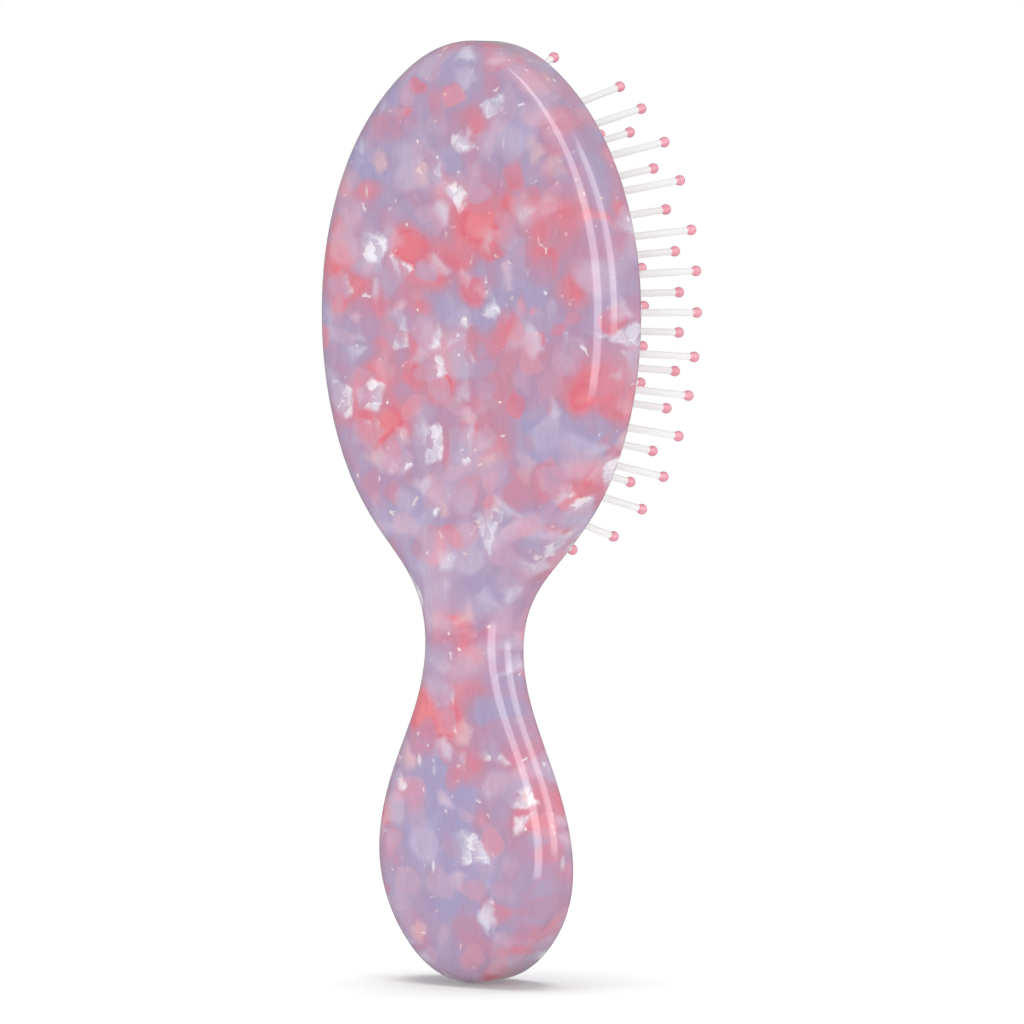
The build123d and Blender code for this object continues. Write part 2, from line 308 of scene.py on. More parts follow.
# ------------------------------------------------------------------- shells
def back_shell():
    # narrow rings round the flat back keep its shading flat
    rings = [body_ring(BACK_ROUND + extra, BACK_Y) for extra in (0.9, 0.4, 0.12)]
    for k in range(19):
        a = quarter(k, 18)
        rings.append(body_ring(BACK_ROUND * (1 - math.sin(a)),
                               BACK_Y + BACK_ROUND * (1 - math.cos(a))))
    # side wall up to the start of the front rounding, then up to the seam
    wall_top = front_y(OUTLINE[:, 1]) - FRONT_ROUND
    for k in range(1, 7):
        t = k / 7
        rings.append(body_ring(0.0, (BACK_Y + BACK_ROUND) * (1 - t) + wall_top * t))
    for k in range(7):
        rings.append(front_round_ring(SEAM_ANGLE * k / 6 - (0.02 if k == 6 else 0)))
    # rounded lip at the seam (inset, drop), then the inner wall and the floor
    for inset, drop in ((SEAM_INSET + 0.02, SEAM * 1.1), (SEAM_INSET + 0.10, SEAM * 0.5),
                        (SEAM_INSET + 0.25, SEAM * 0.3), (WALL - 0.2, SEAM * 0.3),
                        (WALL, SEAM + 0.2)):
        rings.append(body_ring(inset, rise=-FRONT_T - drop))
    for y in (1.0, -0.6, -2.2):
        rings.append(body_ring(WALL, y))
    inner_round = BACK_ROUND - WALL
    for k in range(1, 7):
        a = quarter(k, 6)
        rings.append(body_ring(
            WALL + inner_round * (1 - math.cos(a)) + (0.001 if k == 6 else 0),
            FLOOR_Y + inner_round * 0.45 * (1 - math.sin(a))))
    grid = Grid()
    rows = [grid.add(ring) for ring in rings]
    grid.bridge_all(rows)
    grid.cap(rows[0], columns=12, y=BACK_Y)
    grid.cap(rows[-1], columns=6, y=FLOOR_Y)
    return grid.make_object("back_shell_looks", sharp=50)


def handle_rows(grid, ring, rise):
    """Fills the handle part of a ring. Returns the loop left round the head."""
    heights = grid.points(ring)[:HALF_RING, 2]
    last = int(np.argmin(np.abs(heights - NECK_Z)))
    top = grid.across(ring, last, 12, lambda z: float(front_y(z)) + rise)
    return ring[last:RING_COUNT - last + 1] + top[1:-1]


def between(grid, loop, target, t, rise=0.0):
    """A loop part way from a loop to target points, along the front face."""
    points = grid.points(loop) * (1 - t) + target * t
    points[:, 1] = front_y(points[:, 2]) + rise
    return grid.add(points)


def front_shell():
    grid = Grid()
    outer = []
    steps = 14
    for k in range(steps + 1):
        ring = front_round_ring(SEAM_ANGLE + (math.pi / 2 - SEAM_ANGLE) * k / steps)
        if k == 0:
            ring[:, 1] += SEAM * 0.8
        outer.append(grid.add(ring))
    # underside of the lip at the seam
    under_rise = -FRONT_T + SEAM * 0.2
    under = [grid.add(body_ring(inset, rise=rise)) for inset, rise in
             ((SEAM_INSET + 0.05, -FRONT_T + SEAM * 0.4), (SEAM_INSET + 0.25, under_rise),
              (FRONT_ROUND, under_rise))]
    grid.bridge_all(outer[:1] + under)
    grid.bridge_all(outer)

    # top face: from the outer edge's shape to the oval, over the opening's
    # rounded rim and down its wall
    top_loop = handle_rows(grid, outer[-1], 0.0)
    x, _, z = grid.points(top_loop).T
    angles = np.arctan2((z - HEAD_Z) / OVAL, x)
    rim = oval_ring(angles, OPEN_RX + RIM_ROUND, HEAD_Y)
    loops = [top_loop] + [between(grid, top_loop, rim, t) for t in (0.15, 0.5, 0.85)]
    for k in range(7):
        a = quarter(k, 6)
        loops.append(grid.add(oval_ring(angles, OPEN_RX + RIM_ROUND * (1 - math.sin(a)),
                                        HEAD_Y - RIM_ROUND * (1 - math.cos(a)))))
    for y in (HEAD_Y - 0.9, HEAD_Y - FRONT_T + 0.08):
        loops.append(grid.add(oval_ring(angles, OPEN_RX, y)))
    grid.bridge_all(loops)

    low_loop = handle_rows(grid, under[-1], under_rise)
    middle = between(grid, low_loop, grid.points(loops[-1]), 0.5, under_rise)
    grid.bridge_all([low_loop, middle, loops[-1]])
    return grid.make_object("front_shell_looks", sharp=50)


back = back_shell()
front = front_shell()
register(back, "root", "back_shell")
register(front, "root", "front_shell")


# -------------------------------------------------------------- the cushion
def dome_y(x, z):
    return DOME_Y + DOME_H * (1 - (x / DOME_RX) ** 2 - ((z - HEAD_Z) / (DOME_RX * OVAL)) ** 2)


def pin_groups():
    """Pins by group name, each as its base on the dome and its direction."""
    groups = {}
    for row, places in enumerate(PIN_ROWS):
        for side in (1, -1) if row else (1,):
            name = "%s_%d" % ("right" if side > 0 else "left", row) if row else "centre"
            groups[name] = []
            for across, height in places:
                x, z = side * across, PIN_CENTRE_Z + height
                direction = np.array([x / FAN_X, 1.0, height / FAN_Z])
                direction /= np.linalg.norm(direction)
                groups[name].append((np.array([x, float(dome_y(x, z)), z]), direction))
    return groups


PIN_GROUPS = pin_groups()
PIN_BASES = np.array([base[[0, 2]] for pins in PIN_GROUPS.values() for base, _ in pins])


def pin_and_vent_distance(x, z):
    """Distance to the nearest pin's base and to the vent, seen from the front."""
    near = np.hypot(x[:, None] - PIN_BASES[:, 0], z[:, None] - PIN_BASES[:, 1]).min(axis=1)
    return near, np.hypot(x, z - VENT_Z)


def bell(distance, width, power=2):
    return np.exp(-(distance / width) ** power)


# Relief of the skin, in millimetres
COLLAR_H, COLLAR_R, COLLAR_SOFT = 0.44, 1.25, 0.15   # raised round each pin
VALLEY_DEPTH, VALLEY_R = 0.12, 1.85                  # ring round each collar
SWELL_H, SWELL_FROM = 0.16, 1.6                      # between the collars
VENT_DEPTH, VENT_LIP_H, VENT_LIP_R = 0.9, 0.16, 0.85
EDGE_FADE = 0.10   # share of the oval over which collars and swell fade out


def skin_y(x, z):
    near, vent = pin_and_vent_distance(x, z)
    collar = (COLLAR_H / (1 + np.exp((near - COLLAR_R) / COLLAR_SOFT))
              - VALLEY_DEPTH * bell(near - VALLEY_R, width=0.45))
    swell = SWELL_H * (1 - bell(np.clip(near - SWELL_FROM, 0, None), width=1.4))
    edge = 1 - ((x / PAD_RX) ** 2 + ((z - HEAD_Z) / (PAD_RX * OVAL)) ** 2)
    return (dome_y(x, z) + (collar + swell) * np.clip(edge / EDGE_FADE, 0, 1)
            - VENT_DEPTH * bell(vent, width=0.42, power=4)
            + VENT_LIP_H * bell(vent - VENT_LIP_R, width=0.22))


def inner_skin_y(x, z):
    return dome_y(x, z) - PAD_T


def cushion():
    """Thin domed skin with a lip clamped under the front shell."""
    around = 432
    angles = np.linspace(0, 2 * math.pi, around, endpoint=False)
    skin_rx = PAD_RX - PAD_ROUND
    skin_rings = 112
    stations = [(skin_rx * k / skin_rings, skin_y) for k in range(1, skin_rings + 1)]
    # the skin rolls over into the side wall inside the opening
    edge_y = dome_y(skin_rx, HEAD_Z)
    for k in range(1, 7):
        a = quarter(k, 6)
        stations.append((skin_rx + PAD_ROUND * math.sin(a),
                         edge_y - PAD_ROUND * (1 - math.cos(a)) - 0.02 * k))
    # the lip, with cut corners
    cut = 0.1
    lip_top = HEAD_Y - FRONT_T - 0.02
    lip_bottom = lip_top - 1.15
    stations += [(PAD_RX, lip_top + cut), (PAD_RX + cut, lip_top), (LIP_RX - cut, lip_top),
                 (LIP_RX, lip_top - cut), (LIP_RX, lip_bottom + cut),
                 (LIP_RX - cut, lip_bottom), (PAD_IN_RX + cut, lip_bottom),
                 (PAD_IN_RX, lip_bottom + cut)]
    stations += [(PAD_IN_RX * (1 - k / 14), inner_skin_y) for k in range(14)]
    grid = Grid()
    outer_pole = grid.add(oval_ring(np.zeros(1), 0.0, skin_y))[0]
    loops = [grid.add(oval_ring(angles, radius, depth)) for radius, depth in stations]
    inner_pole = grid.add(oval_ring(np.zeros(1), 0.0, inner_skin_y))[0]
    grid.fan(outer_pole, loops[0], closed=True)
    grid.fan(inner_pole, loops[-1][::-1], closed=True)
    grid.bridge_all(loops)
    return grid.make_object("cushion_skin", sharp=60)


def paint_hollow_shade(piece):
    """A vertex attribute of painted shade: strong in the valley round each pin's
    collar, in the vent and in the groove along the opening, where it darkens
    the pad's colour."""
    mesh = piece.data
    flat = np.empty(len(mesh.vertices) * 3)
    mesh.vertices.foreach_get("co", flat)
    x, _, z = ((flat.reshape(-1, 3) - np.array(ORIGIN)) / MM).T
    near, vent = pin_and_vent_distance(x, z)
    radius = np.hypot(x, (z - HEAD_Z) / OVAL)
    painted_hollow_shade = np.maximum.reduce([0.34 * bell(near - 1.5, width=0.50),
                                0.9 * bell(vent, width=0.55, power=4),
                                0.5 * np.clip((radius - PAD_RX + 0.9) / 0.8, 0, 1)])
    attribute = mesh.attributes.new("painted_hollow_shade", "FLOAT", "POINT")
    attribute.data.foreach_set("value", np.clip(painted_hollow_shade, 0, 1).astype(np.float32))


pad = cushion()
paint_hollow_shade(pad)
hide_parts("cushion_pad")
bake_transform(pad)


# --------------------------------------------------------------------- pins
def lathe(grid, profile, base, direction, segments):
    """Closed solid of revolution about direction from base. The profile's
    points are (radius, height), the first and last on the axis."""
    side = np.cross([0.0, 0.0, 1.0], direction)
    side /= np.linalg.norm(side)
    other = np.cross(direction, side)
    turns = np.linspace(0, 2 * math.pi, segments, endpoint=False)
    start = grid.add([base + direction * profile[0][1]])[0]
    rings = []
    for radius, height in profile[1:-1]:
        rings.append(grid.add([base + direction * height
                               + (side * math.cos(t) + other * math.sin(t)) * radius
                               for t in turns]))
    end = grid.add([base + direction * profile[-1][1]])[0]
    grid.fan(start, rings[0][::-1], closed=True)
    grid.fan(end, rings[-1], closed=True)
    grid.bridge_all(rings)


def shaft_profile():
    """A wide foot below the skin, a short flare above it, a slow taper, and
    an end inside the ball."""
    foot = [(0, -2.52), (0.80, -2.52), (0.92, -2.44), (0.95, -2.3), (0.95, -1.95),
            (0.90, -1.78), (0.80, -1.72), (0.70, -1.70), (0.66, -1.6)]
    straight = [(0.66, height) for height in np.linspace(-1.3, 0.1, 4)]
    flare = [(0.675, 0.35), (0.66, 0.6), (0.655, 1.2)]
    taper = [(0.655 - 0.09 * (height - 1.2) / (PIN_L - 0.9 - 1.2), height)
             for height in np.linspace(2.2, PIN_L - 0.95, 8)]
    end = [(0.56, PIN_L - 0.5), (0.56, PIN_L + 0.1), (0.45, PIN_L + 0.26), (0, PIN_L + 0.28)]
    return foot + straight + flare + taper + end


def ball_profile():
    """A round bead with a short skirt drawn down on the shaft, and a bore."""
    ball_r = 0.87
    angles = [math.radians(11.5 * k) for k in range(1, 12)]
    bead = [(0, PIN_L + ball_r)]
    bead += [(ball_r * math.sin(a), PIN_L + ball_r * math.cos(a)) for a in angles]
    skirt = [(0.625, PIN_L - 0.71), (0.600, PIN_L - 0.85), (0.585, PIN_L - 0.94)]
    bore = [(0.572, PIN_L - 0.97), (0.572, PIN_L - 0.7), (0.572, PIN_L + 0.2),
            (0.45, PIN_L + 0.32), (0, PIN_L + 0.32)]
    return (bead + skirt + bore)[::-1]


# kind, profile, segments, sharp angle, slot
PIN_PARTS = [("shafts", shaft_profile(), 22, 60, "pin_nylon"),
             ("tips", ball_profile(), 28, 75, "ball_tip")]
pin_pieces = {"shafts": [], "tips": []}
for group, pins in PIN_GROUPS.items():
    for kind, profile, segments, sharp, slot in PIN_PARTS:
        grid = Grid()
        for base, direction in pins:
            lathe(grid, profile, base, direction, segments)
        piece = grid.make_object("pins_%s_%s_looks" % (group, kind), sharp)
        register(piece, "pins_%s" % group, "pins_%s_%s" % (group, kind))
        pin_pieces[kind].append(piece)


# ------------------------------------------------------------- shader graphs
def srgb(code):
    """Hex colour to linear RGBA."""
    parts = [int(code[i:i + 2], 16) / 255 for i in (0, 2, 4)]
    return (*(x / 12.92 if x <= 0.04045 else ((x + 0.055) / 1.055) ** 2.4 for x in parts), 1)


class Output:
    """A node's output. Arithmetic on it adds Math nodes, and indexing gives
    another output of the same node."""

    def __init__(self, graph, socket):
        self.graph = graph
        self.socket = socket

    def __getitem__(self, key):
        return Output(self.graph, self.socket.node.outputs[key])

    def __add__(self, other):
        return self.graph.math("ADD", self, other)

    def __radd__(self, other):
        return self.graph.math("ADD", other, self)

    def __sub__(self, other):
        return self.graph.math("SUBTRACT", self, other)

    def __rsub__(self, other):
        return self.graph.math("SUBTRACT", other, self)

    def __mul__(self, other):
        return self.graph.math("MULTIPLY", self, other)


class Graph:
    """Writes the node tree of a material or a world."""

    def __init__(self, owner, output="OutputMaterial"):
        owner.use_nodes = True
        self.tree = owner.node_tree
        self.tree.nodes.clear()
        self.surface = self.tree.nodes.new("ShaderNode" + output).inputs[0]

    def feed(self, socket, value):
        if isinstance(value, Output):
            self.tree.links.new(value.socket, socket)
        else:
            socket.default_value = value

    def node(self, kind, inputs={}, **settings):
        node = self.tree.nodes.new("ShaderNode" + kind)
        for name, value in settings.items():
            setattr(node, name, value)
        for key, value in inputs.items():
            self.feed(node.inputs[key], value)
        return Output(self, node.outputs[0])

    def math(self, operation, *values, clamp=False):
        return self.node("Math", dict(enumerate(values)), operation=operation, use_clamp=clamp)

    def vector(self, operation, *vectors, scale=None):
        inputs = dict(enumerate(vectors))
        if scale is not None:
            inputs["Scale"] = scale
        result = self.node("VectorMath", inputs, operation=operation)
        return result["Value"] if operation in ("DOT_PRODUCT", "DISTANCE") else result

    def position(self):
        """Place in the frame, in millimetres."""
        return self.vector("SCALE", self.node("TexCoord")["Object"], scale=1000.0)

    def step(self, value, low, high, start=0.0, end=1.0):
        """Goes smoothly from start to end as value goes from low to high."""
        return self.node("MapRange", {"Value": value, "From Min": low, "From Max": high,
                                      "To Min": start, "To Max": end},
                         interpolation_type="SMOOTHSTEP")

    def mix(self, factor, under, over, blend="MIX"):
        return self.node("Mix", {0: factor, 6: under, 7: over},
                         data_type="RGBA", blend_type=blend)[2]

    def paint(self, under, over, mask, opacity):
        return self.mix(mask * opacity, under, over)

    def ramp(self, factor, stops):
        """Colour ramp through (position, hex colour) stops."""
        result = self.node("ValToRGB", {0: factor})
        elements = result.socket.node.color_ramp.elements
        elements.remove(elements[-1])
        for i, (position, code) in enumerate(stops):
            element = elements.new(position) if i else elements[0]
            element.position = position
            element.color = srgb(code)
        return result

    def noise(self, at, scale, seed, detail=1.0, roughness=0.5, distortion=0.0):
        return self.node("TexNoise", {"Vector": at, "W": seed, "Scale": scale,
                                      "Detail": detail, "Roughness": roughness,
                                      "Distortion": distortion}, noise_dimensions="4D")["Fac"]

    def warp(self, at, scale, amount, seed):
        """Moves a vector about by noise."""
        colour = self.noise(at, scale, seed)["Color"]
        drift = self.vector("SUBTRACT", colour, (0.5, 0.5, 0.5))
        return self.vector("ADD", at, self.vector("SCALE", drift, scale=amount))

    def cells(self, at, scale, smoothness=None, metric="EUCLIDEAN"):
        """Voronoi cells, soft where a smoothness is given: their Distance."""
        inputs = {"Vector": at, "Scale": scale}
        if smoothness is not None:
            inputs["Smoothness"] = smoothness
        feature = "F1" if smoothness is None else "SMOOTH_F1"
        return self.node("TexVoronoi", inputs, feature=feature, distance=metric)["Distance"]

    def cell_edge(self, at, scale):
        """Distance to the nearest edge of a Voronoi cell."""
        return self.node("TexVoronoi", {"Vector": at, "Scale": scale},
                         feature="DISTANCE_TO_EDGE")["Distance"]

    def picks(self, cells):
        """Three random numbers per cell."""
        parts = self.node("SeparateColor", {0: cells["Color"]})
        return parts[0], parts[1], parts[2]

    def cell_side(self, at, cells):
        """How far a point lies to a random side of its cell's middle."""
        away = self.vector("SUBTRACT", at, cells["Position"])
        toward = self.vector("SUBTRACT", cells["Color"], (0.5, 0.5, 0.5))
        return self.vector("DOT_PRODUCT", away, toward)

    def bump(self, height, strength, distance):
        return self.node("Bump", {"Height": height, "Strength": strength,
                                  "Distance": distance})


# ------------------------------------------------------------ pearl acetate
# Large areas of the sheet that lean to coral (positive) or to lavender
# (negative): x, z, radius in millimetres, strength
TONES = [
    (4.5, 124.0, 8.0, 0.9), (20.0, 122.0, 7.5, 0.8), (-20.0, 115.0, 8.0, 0.8),
    (-3.0, 101.0, 6.0, 0.8), (-13.5, 93.0, 7.5, 0.95), (8.0, 90.0, 6.0, 0.8),
    (-5.5, 43.0, 6.5, 0.85), (27.0, 97.0, 7.0, 0.7), (-14.0, 134.0, 10.0, -0.9),
    (12.0, 138.0, 10.0, -0.65), (13.0, 82.0, 9.0, -0.65), (-3.0, 25.0, 11.0, -0.8),
    (4.0, 13.0, 9.0, -0.6), (15.5, 30.0, 5.0, 0.75), (7.0, 42.0, 5.5, -0.75),
    (5.5, 57.0, 5.0, 0.7)]

# Flake colours from lavender to coral
PALETTE = [(0.0, "A095BB"), (0.20, "A896B7"), (0.38, "B08BAC"), (0.52, "BE859D"),
           (0.64, "CD7E95"), (0.75, "D97687"), (0.86, "DC6377"), (1.0, "E37A83")]

# Flake layers, deepest first: offset, cell scale, smoothness, warp amount,
# warp seed, pull of the tone areas
FLAKE_LAYERS = [((0.0, 0.0, 0.0), 0.155, 1.0, 2.6, 1.3, 0.44),
                ((31.0, 7.0, 13.0), 0.195, 1.0, 1.8, 4.1, 0.36),
                ((-17.0, 3.0, 41.0), 0.260, 0.65, 1.1, 7.7, 0.32)]


def tone_bias(graph, position):
    plane = graph.vector("MULTIPLY", position, (1.0, 0.0, 1.0))
    bias = None
    for x, z, radius, strength in TONES:
        reach = graph.vector("DISTANCE", plane, (x, 0.0, z))
        area = (1.0 - graph.step(reach, low=0.25 * radius, high=1.25 * radius)) * strength
        bias = area if bias is None else bias + area
    return bias


def soft_flakes(graph, flat, bias):
    """Three layers of soft flakes, with milky and deeper ones among them."""
    layers = []
    for offset, scale, smoothness, amount, seed, pull in FLAKE_LAYERS:
        at = graph.warp(graph.vector("ADD", flat, offset), scale * 1.1, amount, seed)
        tone, first, second = graph.picks(graph.cells(at, scale, smoothness))
        tone_spread, tone_shift = 0.95, 0.01
        tone = tone * tone_spread + bias * pull + tone_shift
        layers.append((graph.ramp(tone, PALETTE), first, second))
    (deep, _, deep_2), (middle, middle_1, middle_2), (near, near_1, near_2) = layers
    colour = deep
    # colour over, what picks its flakes, low and high of the pick, opacity
    for over, pick, low, high, opacity in (
            (middle, middle_1, 0.28, 0.72, 0.80), (near, near_1, 0.50, 0.80, 0.62),
            (srgb("D6C8DC"), middle_2, 0.48, 0.86, 0.34),
            (srgb("E3AFC0"), near_2, 0.58, 0.86, 0.24),
            (srgb("9C7FAE"), deep_2, 0.60, 0.92, 0.20)):
        colour = graph.paint(colour, over, graph.step(pick, low, high), opacity)
    return colour


def pale_flakes(graph, flat, colour):
    """Pale angular flakes with one crisp and one fading side."""
    at = graph.warp(graph.vector("ADD", flat, (5.0, 11.0, -9.0)),
                    scale=0.7, amount=1.2, seed=2.2)
    cells = graph.cells(at, scale=0.235)
    edge = graph.cell_edge(at, scale=0.235)
    chosen, tint, _ = graph.picks(cells)
    fade = graph.step(graph.cell_side(at, cells), low=-0.9, high=0.9)
    least, gain = 0.06, 0.54   # opacity on the fading side, and its rise
    mask = (graph.step(chosen, low=0.67, high=0.75) * graph.step(edge, low=0.0, high=0.30)
            * (least + fade * gain))
    tints = [(0.0, "EAB9B6"), (0.25, "E6C4D1"), (0.5, "D3C8E0"), (1.0, "DFDEEA")]
    return graph.mix(mask, colour, graph.ramp(tint, tints))


def silver_chips(graph, flat, colour):
    """Crumpled silver chips: a painted sheen across each chip, folded into small flat facets,
    with painted highlights on some facets and along the folds.
    """
    at = graph.warp(graph.vector("ADD", flat, (-3.0, -21.0, 6.0)),
                    scale=0.9, amount=0.9, seed=5.5)
    cells = graph.cells(at, scale=0.165)
    edge = graph.cell_edge(at, scale=0.165)
    chosen, _, lined = graph.picks(cells)
    facet_at = graph.warp(graph.vector("MULTIPLY", at, (1.0, 1.0, 0.7)),
                          scale=0.9, amount=0.9, seed=2.9)
    bright, tilt, _ = graph.picks(graph.cells(facet_at, scale=0.50, smoothness=0.16))
    fold = graph.cell_edge(at, scale=0.40)
    edge_jag, tilt_gain = 0.05, 1.6   # how far the facets move the edge and the sheen
    inside = graph.step(edge + (bright - 0.5) * edge_jag, low=0.040, high=0.180)
    # painted sheen: each chip's colour runs from darker to paler across it
    sheen = graph.step(graph.cell_side(at, cells) + (tilt - 0.5) * tilt_gain,
                       low=-0.7, high=1.1)
    chip = graph.mix(sheen, srgb("B8AFCB"), srgb("DCD8E6"))
    # painted highlights on some facets and along the folds
    flash = graph.step(bright, low=0.58, high=0.86) * graph.step(sheen, low=0.30, high=0.80)
    chip = graph.paint(chip, srgb("F6F4FA"), flash, opacity=0.85)
    fold_highlight = ((1.0 - graph.step(fold, low=0.0, high=0.080))
            * graph.step(sheen, low=0.30, high=0.60) * graph.step(lined, low=0.15, high=0.35))
    chip = graph.paint(chip, srgb("FFFDFD"), fold_highlight, opacity=0.70)
    least, gain = 0.32, 0.52   # opacity without sheen, and its rise
    mask = graph.step(chosen, low=0.72, high=0.76) * inside * (least + sheen * gain)
    return graph.mix(mask, colour, chip)


def slivers(graph, position, colour):
    """Upright slivers."""
    at = graph.vector("MULTIPLY", graph.vector("ADD", position, (9.0, 4.0, 2.0)),
                      (1.0, 0.5, 0.36))
    cells = graph.cells(graph.warp(at, scale=0.45, amount=1.0, seed=8.8), scale=0.30)
    chosen, tint, _ = graph.picks(cells)
    mask = (graph.step(chosen, low=0.72, high=0.76)
            * (1.0 - graph.step(cells, low=0.04, high=0.17)))
    tint = graph.ramp(tint, [(0.0, "F3C9BC"), (0.4, "E9DCE4"), (1.0, "F4F4F8")])
    return graph.paint(colour, tint, mask, opacity=0.62)


def painted_edge_highlights_and_glints(graph, position, flat, colour):
    """Painted highlights along broken flake edges, and painted glints in small groups."""
    at = graph.warp(graph.vector("ADD", flat, (14.0, -5.0, 27.0)),
                    scale=1.1, amount=0.8, seed=9.9)
    edge = graph.cell_edge(at, scale=0.25)
    broken = graph.noise(position, scale=0.50, seed=12.0)
    warmth = graph.noise(position, scale=0.12, seed=31.0, detail=0.0)
    tint = graph.ramp(warmth, [(0.40, "FFFFFF"), (0.60, "FBD9CE")])
    # painted highlights along broken flake edges
    mask = ((1.0 - graph.step(edge, low=0.004, high=0.062))
            * graph.step(broken, low=0.63, high=0.74))
    colour = graph.paint(colour, tint, mask, opacity=0.60)

    # painted glints in small groups
    at = graph.warp(graph.vector("ADD", position, (2.0, 8.0, -4.0)),
                    scale=1.3, amount=0.9, seed=6.1)
    cells = graph.cells(at, scale=0.50, metric="MANHATTAN")
    chosen, _, _ = graph.picks(cells)
    grouped = graph.noise(position, scale=0.20, seed=21.0, detail=0.0)
    mask = (graph.step(chosen, low=0.89, high=0.91)
            * (1.0 - graph.step(cells, low=0.06, high=0.30))
            * graph.step(grouped, low=0.44, high=0.56))
    half_tint = graph.mix(0.5, tint, srgb("FFFFFF"))
    return graph.paint(colour, half_tint, mask, opacity=0.78)


def shell_material():
    """Translucent flakes of coral, rose, mauve and lavender at several
    depths, with silver chips that carry a painted sheen, slivers, and painted
    highlights and glints, under a clear gloss."""
    material = bpy.data.materials.new("pearl_acetate")
    graph = Graph(material)
    position = graph.position()
    # depth is squeezed so that flakes run some way round onto the sides
    flat = graph.vector("MULTIPLY", position, (1.0, 0.6, 1.0))
    colour = soft_flakes(graph, flat, tone_bias(graph, position))
    colour = pale_flakes(graph, flat, colour)
    colour = silver_chips(graph, flat, colour)
    colour = slivers(graph, position, colour)
    colour = painted_edge_highlights_and_glints(graph, position, flat, colour)

    # pearl grain, drawn out upright, and a faint waviness in the gloss
    grain = graph.noise(graph.vector("MULTIPLY", position, (1.0, 0.7, 0.30)),
                        scale=1.1, seed=44.0, detail=2.0, roughness=0.6)
    darkest, gain = 0.87, 0.24
    lift = darkest + grain * gain
    grey = graph.node("CombineColor", {0: lift, 1: lift, 2: lift})
    wave = graph.noise(position, scale=0.11, seed=51.0)
    graph.feed(graph.surface, graph.node("BsdfPrincipled", {
        "Base Color": graph.mix(1.0, colour, grey, blend="MULTIPLY"),
        "Coat Normal": graph.bump(wave, strength=1.0, distance=0.03 * MM),
        "Roughness": 0.45,
        "Specular IOR Level": 0.25,
        "Coat Weight": 1.0,
        "Coat IOR": 1.5,
        "Coat Roughness": 0.02}))
    return material


# ------------------------------------------------------- moulded materials
def moulded(name, light, deep, roughness, grain, grain_depth, coat=0.0, mask=None,
            painted_shade_colour=None, fade=None, squeeze=(1.0, 1.0, 1.0), rim=None):
    """A moulded plastic or rubber: cloudy mottling between two tones, uneven
    roughness and a fine surface grain. mask names a vertex attribute that
    brings in a painted shade colour; fade gives a depth range in millimetres
    over which the deep tone leaves. rim is the colour of a painted shade
    towards the edges that turn away from the camera."""
    material = bpy.data.materials.new(name)
    graph = Graph(material)
    position = graph.position()
    cloud = graph.noise(position, scale=0.16, seed=3.3, detail=3.0, roughness=0.55,
                        distortion=0.6)
    speck = graph.noise(position, scale=1.9, seed=9.1, detail=2.0, roughness=0.6)
    cloud_gain, cloud_shift, speck_gain = 1.5, -0.42, 0.7   # contrast of the mottling
    mottle = graph.math("ADD", cloud * cloud_gain + cloud_shift,
                        (speck - 0.5) * speck_gain, clamp=True)
    if fade is not None:
        depth = graph.node("SeparateXYZ", {0: position})[1]
        kept = 0.6   # share of the mottling that stays
        deepening = graph.step(depth, *fade, start=0.55, end=0.0)
        mottle = graph.math("ADD", mottle * kept, deepening, clamp=True)
    colour = graph.mix(mottle, light, deep)
    if mask is not None:
        # painted shade: the attribute mixes the darker colour into the hollows
        attribute = graph.node("Attribute", attribute_name=mask)["Fac"]
        colour = graph.mix(attribute, colour, painted_shade_colour)
    # painted shade: the colour turns to the rim tone towards the edges that turn away from the
    # camera
    if rim is not None:
        painted_edge_shade = graph.node("LayerWeight", {"Blend": 0.35})["Facing"]
        colour = graph.mix(painted_edge_shade, colour, rim)
    fine = graph.noise(graph.vector("MULTIPLY", position, squeeze),
                       scale=grain, seed=17.0, detail=2.0, roughness=0.55)
    wide = graph.noise(position, scale=0.45, seed=23.0)
    fine_share = 0.5
    height = fine * fine_share + wide
    spread = 0.10   # unevenness of the roughness, up and down
    graph.feed(graph.surface, graph.node("BsdfPrincipled", {
        "Base Color": colour,
        "Roughness": (roughness - spread) + speck * (2 * spread),
        "Coat Weight": coat,
        "Coat Roughness": 0.12,
        "Normal": graph.bump(height, strength=0.8, distance=grain_depth * MM)}))
    return material


def put(material, *pieces):
    for piece in pieces:
        piece.data.materials.clear()
        piece.data.materials.append(material)


pad_depth = ORIGIN.y / MM + DOME_Y
put(shell_material(), back, front)
# the pad gets a painted shade in its hollows, in a darker pink
put(moulded("pad_rubber", light=srgb("F2D8E0"), deep=srgb("E6C3CF"), roughness=0.55,
            grain=5.0, grain_depth=0.02, mask="painted_hollow_shade", painted_shade_colour=srgb("CB8CA1")), pad)
put(moulded("pin_nylon", light=(0.895, 0.893, 0.890, 1), deep=(0.79, 0.78, 0.78, 1),
            roughness=0.40, grain=2.4, grain_depth=0.012,
            fade=(pad_depth + 2.0, pad_depth + 15.0), squeeze=(1.0, 0.15, 1.0)),
    *pin_pieces["shafts"])
# the ball tips get a painted shade towards their edges
put(moulded("ball_tip", light=srgb("F4A9B7"), deep=srgb("E893A5"), roughness=0.32,
            grain=2.0, grain_depth=0.010, coat=0.5, rim=srgb("CD7389")),
    *pin_pieces["tips"])
put(moulded("frame_plastic", light=srgb("ECE8EC"), deep=srgb("DCD6DE"), roughness=0.50,
            grain=3.0, grain_depth=0.02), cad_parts["retaining_frame"])

